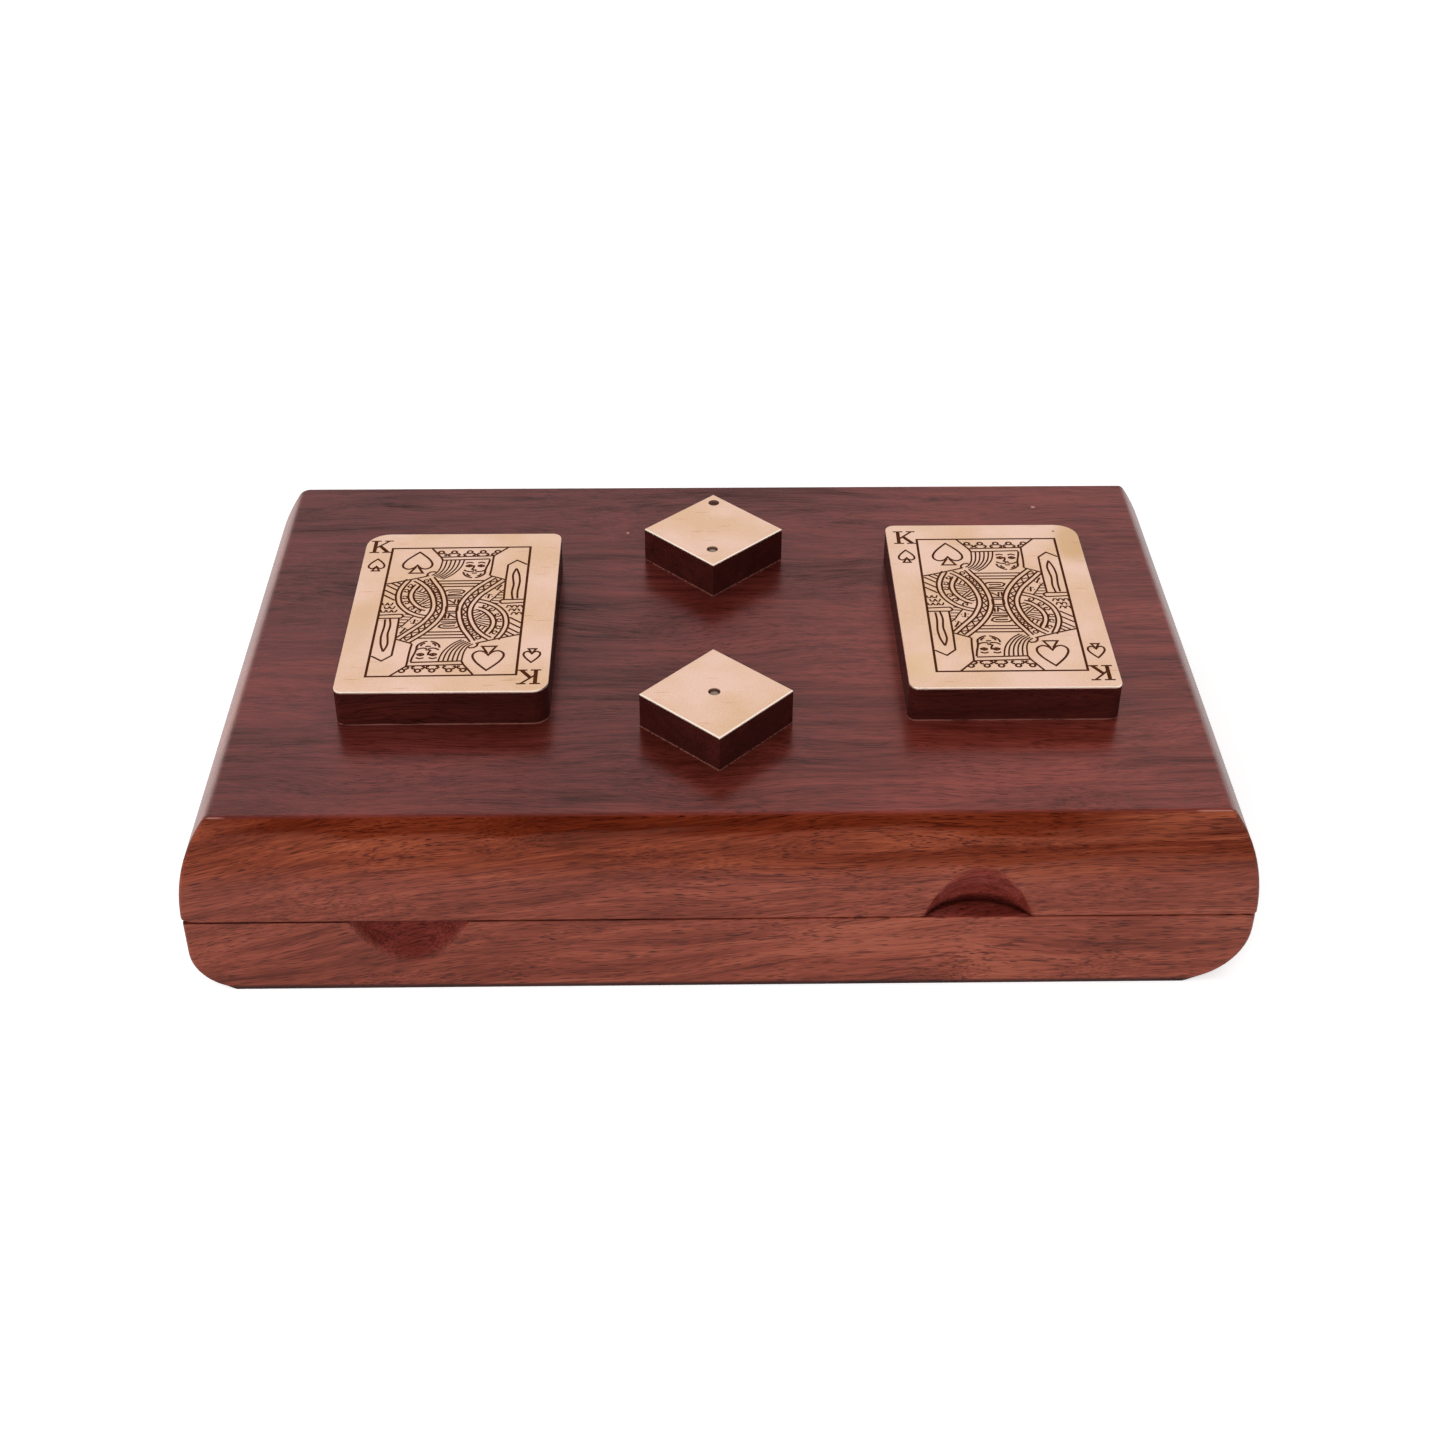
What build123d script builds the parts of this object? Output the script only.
from build123d import *
import math
import os

# Card and dice box: a milled hardwood base and lid, hinged at the back, with two brass
# card plates and two brass dice plates on raised blocks on the lid.
# Millimetres, lid closed. The origin is on the ground, midway between the ends and
# between front and back. +X is to the right, the front faces -Y and +Z is up.

# The two halves
half_length = 102.0            # middle to the widest point of a rounded lid end
base_end_inset = 0.2           # the base is this much shorter at each end
depth = 120.5                  # front face to back face
base_height = 17.0
lid_height = 25.45
rim_gap = 0.25                 # air between the closed rims
lid_end_draw_in = 8.0          # how far an end leans in between the rim and the top
base_left_radius = 9.2         # turn from the left base end into the bottom face
base_right_radius = 13.5
arris = 0.7                    # width taken off the outer edges
rim_arris = 0.25               # width taken off the outer edges of the two rims

# Pockets, milled alike into both halves
end_wall = 11.0                # at the rim
front_wall = 12.25
back_wall = 12.25
divider_thickness = 7.0
dice_pocket_length = 36.0
pocket_corner_radius = 3.0
base_floor = 5.0
lid_roof = 7.0
finger_dip_radius = 9.0        # half-round dip in each base divider

# Thumb notches: a leaning drum cuts into the front of each rim
lid_notch_x = 48.9
lid_notch_radius = 13.8
lid_notch_depth = 5.1          # into the front face, at the rim
lid_notch_height = 12.6        # along the front face, from the rim
base_notch_x = -59.4
base_notch_radius = 15.0
base_notch_depth = 6.2
base_notch_height = 10.2

# Felt pads on the pocket floors
felt_thickness = 1.0
felt_clearance = 0.2           # to the pocket walls

# Magnets let into the front rims, in line with the dividers
magnet_radius = 3.0
magnet_thickness = 2.0
magnet_clearance = 0.05

# Raised blocks and their brass plates
block_height = 7.4
plate_thickness = 0.5
plate_arris = 0.12
card_width = 41.2
left_card_end_distance = 48.5  # widest point of the lid to the middle of the card
left_card_y = -2.8
left_card_length = 58.4
left_card_corners = {"front_left": 1.8, "front_right": 3.3, "back_left": 4.8, "back_right": 2.0}
right_card_end_distance = 44.8
right_card_y = -1.4
right_card_length = 60.8
right_card_corners = {"front_left": 1.8, "front_right": 1.6, "back_left": 2.0, "back_right": 4.8}

die_side = 20.9
rear_die_x = -0.4
rear_die_distance = 32.2       # back face to the middle of the die
rear_die_turn = 44.2           # degrees, counter-clockwise from above
rear_die_pips = ((-8.5, -0.2), (11.0, 0.1))  # from the die's middle, backwards and to the right
front_die_x = -0.6
front_die_distance = 27.6      # front face to the middle of the die
front_die_turn = 46.6
front_die_pips = ((0.0, -0.4),)
pip_radius = 1.2

# Butt hinges, let into the back rims
hinge_end_distance = 40.0      # widest point of the lid to the middle of a hinge
hinge_length = 25.0
leaf_width = 9.0
leaf_thickness = 1.0
mortise_clearance = 0.1
knuckle_radius = 2.0
knuckle_stand_off = 0.2        # from the back face to the knuckle
knuckle_side_gap = 0.2         # between neighbouring knuckles
pin_radius = 1.0
pin_running_clearance = 0.05
knuckle_count = 3

# Hinge screws, countersunk flush with the leaves
screw_spacing = 14.0
screw_length = 8.0
screw_shank_radius = 0.9

# Places that several pieces share
front = -depth / 2
back = depth / 2
left_card_place = (left_card_end_distance - half_length, left_card_y)
right_card_place = (half_length - right_card_end_distance, right_card_y)
rear_die_place = (rear_die_x, back - rear_die_distance)
front_die_place = (front_die_x, front + front_die_distance)
hinge_x = half_length - hinge_end_distance
base_half_length = half_length - base_end_inset
base_rim = base_height
lid_rim = base_height + rim_gap
top = lid_rim + lid_height
block_top = top + block_height
axis_y = back + knuckle_stand_off + knuckle_radius
axis_z = (base_rim + lid_rim) / 2
screw_y = back - leaf_width / 2
screw_head_radius = screw_shank_radius + leaf_thickness
divider_x = (dice_pocket_length + divider_thickness) / 2
magnet_y = front + front_wall / 2
pocket_y = (front_wall - back_wall) / 2
pocket_width = depth - front_wall - back_wall
card_pocket_start = dice_pocket_length / 2 + divider_thickness
card_pocket_end = half_length - end_wall
card_pocket_length = card_pocket_end - card_pocket_start
card_pocket_x = (card_pocket_start + card_pocket_end) / 2


# Blanks of the two halves
def extruded_blank(outline_edges):
    outline = make_face(outline_edges)
    return extrude(Plane.XZ * outline, amount=depth / 2, both=True)


def lid_blank():
    # each end is one arc, upright at the rim and leaning in towards the top
    radius = (lid_height**2 + lid_end_draw_in**2) / (2 * lid_end_draw_in)
    sweep = math.degrees(math.asin(lid_height / radius))
    right = CenterArc((half_length - radius, lid_rim), radius, 0, sweep)
    left = mirror(right, Plane.YZ)
    rim_line = Line(left @ 0, right @ 0)
    top_line = Line(right @ 1, left @ 1)
    return extruded_blank([rim_line, right, top_line, left])


def base_blank():
    # each end drops upright from the rim, then turns under into the bottom face
    tallest = base_height - 2 * rim_arris
    left = min(base_left_radius, tallest)
    right = min(base_right_radius, tallest)
    left_arc = CenterArc((left - base_half_length, left), left, 180, 90)
    right_arc = CenterArc((base_half_length - right, right), right, 270, 90)
    left_side = Line(left_arc @ 0, (-base_half_length, base_rim))
    right_side = Line(right_arc @ 1, (base_half_length, base_rim))
    rim_line = Line(left_side @ 1, right_side @ 1)
    bottom_line = Line(left_arc @ 1, right_arc @ 0)
    return extruded_blank([bottom_line, right_arc, right_side, rim_line, left_side, left_arc])


def soften_outside(blank, rim_z):
    # every outer edge is broken, the rim's own edges by less
    rim_edges = blank.edges().filter_by_position(Axis.Z, rim_z, rim_z)
    sharp = [edge for edge in blank.edges() if edge not in rim_edges and not runs_smooth(edge)]
    softened = chamfer(sharp, arris)
    rim_face = softened.faces().sort_by(lambda face: abs(face.center().Z - rim_z))[0]
    return chamfer(rim_face.edges(), rim_arris)


def runs_smooth(edge):
    # the seam along Y where a straight base side meets its arc, or the arc the bottom
    along_depth = abs(edge.tangent_at(0.5).Y) > 0.99
    return along_depth and edge.center().Z < base_rim


# What is milled out of the halves
def pocket_cutters(low, high):
    # the two card pockets and the dice pocket between them
    cutters = []
    for x, length in (
        (-card_pocket_x, card_pocket_length),
        (0.0, dice_pocket_length),
        (card_pocket_x, card_pocket_length),
    ):
        outline = RectangleRounded(length, pocket_width, pocket_corner_radius)
        cutters.append(Pos(x, pocket_y, low) * extrude(outline, amount=high - low))
    return cutters


def finger_dip_cutter():
    # one round bar across both dividers, with its middle at the rim
    reach = 2 * card_pocket_start
    return Pos(0, pocket_y, base_rim) * Rot(0, 90, 0) * Cylinder(finger_dip_radius, reach)


def notch_drum(x, rim_z, upward, radius, notch_depth, notch_height):
    # the drum's deepest line runs from the rim, notch_depth in, out to the front face
    lean = math.atan2(notch_depth, notch_height)
    along = Vector(0, -math.sin(lean), upward * math.cos(lean))
    outward = Vector(0, -math.cos(lean), -upward * math.sin(lean))
    deepest = Vector(x, front + notch_depth, rim_z)
    drum_plane = Plane(origin=deepest + outward * radius, x_dir=(1, 0, 0), z_dir=along)
    return drum_plane * Cylinder(radius, 4 * (notch_height + radius))


def mortise_cutter(x, low, high):
    length = hinge_length + 2 * mortise_clearance
    width = leaf_width + mortise_clearance
    return Pos(x, back - width / 2, (low + high) / 2) * Box(length, width, high - low)


def magnet_seat(x, low, high):
    seat = Cylinder(magnet_radius + magnet_clearance, high - low)
    return Pos(x, magnet_y, (low + high) / 2) * seat


def screw_places():
    return [
        (side * hinge_x + offset, screw_y)
        for side in (-1, 1)
        for offset in (-screw_spacing / 2, screw_spacing / 2)
    ]


def pilot_hole(place, rim_z, inward):
    middle = rim_z + inward * screw_length / 2
    return Pos(place[0], place[1], middle) * Cylinder(screw_shank_radius, screw_length)


def rim_cutters(rim_z, inward):
    # mortises, magnet seats and pilot holes, cut from the rim into the wood
    leaf_low, leaf_high = sorted((rim_z, rim_z + inward * leaf_thickness))
    seat_low, seat_high = sorted((rim_z, rim_z + inward * magnet_thickness))
    cutters = [mortise_cutter(side * hinge_x, leaf_low, leaf_high) for side in (-1, 1)]
    cutters += [magnet_seat(side * divider_x, seat_low, seat_high) for side in (-1, 1)]
    cutters += [pilot_hole(place, rim_z, inward) for place in screw_places()]
    return cutters


def base_block():
    block = soften_outside(base_blank(), base_rim)
    block -= notch_drum(
        base_notch_x, base_rim, -1, base_notch_radius, base_notch_depth, base_notch_height
    )
    block -= pocket_cutters(base_floor, base_rim)
    block -= finger_dip_cutter()
    block -= rim_cutters(base_rim, -1)
    return block


def lid_block():
    block = soften_outside(lid_blank(), lid_rim)
    block -= notch_drum(
        lid_notch_x, lid_rim, 1, lid_notch_radius, lid_notch_depth, lid_notch_height
    )
    block -= pocket_cutters(lid_rim, top - lid_roof)
    block -= rim_cutters(lid_rim, 1)
    return block


# Felt and magnets
def felt_pad(x, pocket_length, low):
    outline = RectangleRounded(
        pocket_length - 2 * felt_clearance,
        pocket_width - 2 * felt_clearance,
        pocket_corner_radius - felt_clearance,
    )
    return Pos(x, pocket_y, low) * extrude(outline, amount=felt_thickness)


def magnet_pair(low):
    magnet = Cylinder(magnet_radius, magnet_thickness)
    middle = low + magnet_thickness / 2
    return Compound([Pos(side * divider_x, magnet_y, middle) * magnet for side in (-1, 1)])


# Raised card blocks and plates
def card_outline(length, corners):
    outline = Rectangle(card_width, length)
    for corner, radius in corners.items():
        end, side = corner.split("_")
        x = card_width / 2 if side == "right" else -card_width / 2
        y = length / 2 if end == "back" else -length / 2
        vertex = outline.vertices().sort_by_distance((x, y, 0))[0]
        outline = fillet(vertex, radius)
    return outline


def card_block(place, length, corners):
    block = extrude(card_outline(length, corners), amount=block_height)
    return Pos(*place, top) * block


def card_plate(place, length, corners):
    plate = extrude(card_outline(length, corners), amount=plate_thickness)
    plate = chamfer(plate.faces().sort_by(Axis.Z)[-1].edges(), plate_arris)
    return Pos(*place, block_top) * plate


# Raised dice blocks and plates, turned corner to the front
def die_location(place, turn, height):
    return Pos(*place, height) * Rot(0, 0, turn)


def pip_spots(pips):
    # the die's diagonals point to the back and to the right once it is turned
    share = math.sqrt(0.5)
    return [Pos((along + aside) * share, (along - aside) * share) for along, aside in pips]


def die_block(place, turn):
    block = extrude(Rectangle(die_side, die_side), amount=block_height)
    return die_location(place, turn, top) * block


def die_plate(place, turn, pips):
    plate = extrude(Rectangle(die_side, die_side), amount=plate_thickness)
    plate = chamfer(plate.faces().sort_by(Axis.Z)[-1].edges(), plate_arris)
    hole = Cylinder(pip_radius, 4 * plate_thickness)
    plate -= [spot * hole for spot in pip_spots(pips)]
    return die_location(place, turn, block_top) * plate


# Hinges
def knuckle_spans(first):
    # spans along X from the hinge's middle, for every other knuckle from the given one
    pitch = hinge_length / knuckle_count
    spans = []
    for index in range(first, knuckle_count, 2):
        low = -hinge_length / 2 + index * pitch
        high = low + pitch
        low += knuckle_side_gap / 2 if index > 0 else 0
        high -= knuckle_side_gap / 2 if index < knuckle_count - 1 else 0
        spans.append((low, high))
    return spans


def countersink(rim_z, inward):
    # cone that holds the screw head, widest at the rim
    radii = (screw_shank_radius, screw_head_radius)
    bottom, upper = radii if inward < 0 else radii[::-1]
    middle = rim_z + inward * leaf_thickness / 2
    return Pos(0, 0, middle) * Cone(bottom, upper, leaf_thickness)


def hinge_leaf(x, rim_z, inward, first_knuckle, bore_radius):
    middle_z = rim_z + inward * leaf_thickness / 2
    leaf = Pos(0, back - leaf_width / 2, middle_z) * Box(hinge_length, leaf_width, leaf_thickness)
    for low, high in knuckle_spans(first_knuckle):
        middle = (low + high) / 2
        reach = axis_y - back
        tongue = Pos(middle, back + reach / 2, middle_z) * Box(high - low, reach, leaf_thickness)
        barrel = Pos(middle, axis_y, axis_z) * Rot(0, 90, 0) * Cylinder(knuckle_radius, high - low)
        leaf += [tongue, barrel]
    leaf -= Pos(0, axis_y, axis_z) * Rot(0, 90, 0) * Cylinder(bore_radius, 2 * hinge_length)
    for offset in (-screw_spacing / 2, screw_spacing / 2):
        leaf -= Pos(offset, screw_y) * countersink(rim_z, inward)
    return Pos(x) * leaf


def base_leaf(x):
    return hinge_leaf(x, base_rim, -1, 0, pin_radius)


def lid_leaf(x):
    return hinge_leaf(x, lid_rim, 1, 1, pin_radius + pin_running_clearance)


def hinge_pin(x):
    return Pos(x, axis_y, axis_z) * Rot(0, 90, 0) * Cylinder(pin_radius, hinge_length)


def hinge_screw(place, rim_z, inward):
    shank_length = screw_length - leaf_thickness
    shank_middle = rim_z + inward * (leaf_thickness + shank_length / 2)
    screw = countersink(rim_z, inward)
    screw += Pos(0, 0, shank_middle) * Cylinder(screw_shank_radius, shank_length)
    return Pos(*place) * screw


def hinge_screws(rim_z, inward):
    return Compound([hinge_screw(place, rim_z, inward) for place in screw_places()])


# Every piece under its node name
def all_pieces():
    left_card = (left_card_place, left_card_length, left_card_corners)
    right_card = (right_card_place, right_card_length, right_card_corners)
    rear_die = (rear_die_place, rear_die_turn)
    front_die = (front_die_place, front_die_turn)
    pieces = {
        "base_block": base_block(),
        "lid_block": lid_block(),
        "left_card_block": card_block(*left_card),
        "left_card_plate": card_plate(*left_card),
        "right_card_block": card_block(*right_card),
        "right_card_plate": card_plate(*right_card),
        "rear_die_block": die_block(*rear_die),
        "rear_die_plate": die_plate(*rear_die, rear_die_pips),
        "front_die_block": die_block(*front_die),
        "front_die_plate": die_plate(*front_die, front_die_pips),
        "base_magnets": magnet_pair(base_rim - magnet_thickness),
        "lid_magnets": magnet_pair(lid_rim),
        "base_hinge_screws": hinge_screws(base_rim, -1),
        "lid_hinge_screws": hinge_screws(lid_rim, 1),
    }
    for side, x in (("left", -hinge_x), ("right", hinge_x)):
        pieces[f"{side}_hinge_base_leaf"] = base_leaf(x)
        pieces[f"{side}_hinge_lid_leaf"] = lid_leaf(x)
        pieces[f"{side}_hinge_pin"] = hinge_pin(x)
    for half, low in (("base", base_floor), ("lid", top - lid_roof - felt_thickness)):
        pieces[f"{half}_left_card_felt"] = felt_pad(-card_pocket_x, card_pocket_length, low)
        pieces[f"{half}_dice_felt"] = felt_pad(0, dice_pocket_length, low)
        pieces[f"{half}_right_card_felt"] = felt_pad(card_pocket_x, card_pocket_length, low)
    return pieces


os.makedirs("parts", exist_ok=True)
for name, piece in all_pieces().items():
    export_step(piece, f"parts/{name}.step")
